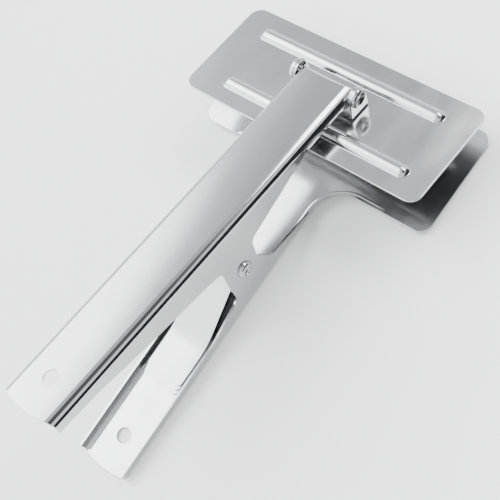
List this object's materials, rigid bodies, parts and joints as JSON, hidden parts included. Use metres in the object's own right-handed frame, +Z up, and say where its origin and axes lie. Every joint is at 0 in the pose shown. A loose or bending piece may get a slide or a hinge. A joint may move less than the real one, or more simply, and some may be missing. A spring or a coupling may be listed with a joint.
{
  "type": "flat-jaw spring clamp",
  "caption": "Squeeze-handled steel spring clamp with two wide flat plate jaws; the upper jaw swivels on a pin to lie flat on the work.",
  "frame": {"origin": "centre of the bottom of the object's box, with the clamp lying on its lower arm", "axes": "+Y from the handles towards the jaws, +Z up, +X across the jaws"},
  "size_m": [0.14, 0.2344, 0.0863],
  "materials": {
    "polished_steel": "polished",
    "jaw_steel": "polished",
    "rivet_steel": "polished",
    "spring_steel": "satin"
  },
  "bodies": {
    "lower": {"lower_arm": "polished_steel", "pivot_sleeve": "rivet_steel", "spring_leaf_outer": "spring_steel", "spring_leaf_middle": "spring_steel", "spring_leaf_inner": "spring_steel"},
    "upper": {"upper_arm": "polished_steel", "pivot_rivet": "rivet_steel"},
    "jaw": {"upper_jaw_plate": "jaw_steel", "jaw_saddle": "jaw_steel", "jaw_pin": "rivet_steel", "jaw_washer_inner_left": "rivet_steel", "jaw_washer_inner_right": "rivet_steel", "jaw_washer_outer_left": "rivet_steel", "jaw_washer_outer_right": "rivet_steel"}
  },
  "joints": [
    {"name": "handle_pivot", "type": "hinge", "parent": "lower", "child": "upper", "pos_m": [0, -0.00354, 0.02812], "axis": [1, 0, 0], "range_deg": [-14.84, 6.8], "stiffness_Nm_per_rad": 12, "deforming": ["spring_leaf_outer", "spring_leaf_middle", "spring_leaf_inner"]},
    {"name": "jaw_swivel", "type": "hinge", "parent": "upper", "child": "jaw", "pos_m": [0, 0.09083, 0.03877], "axis": [1, 0, 0], "range_deg": [-11.29, 24.58]}
  ],
  "couplings": [
    {"joint": "jaw_swivel", "follows": "handle_pivot", "ratio": -1.6529}
  ]
}
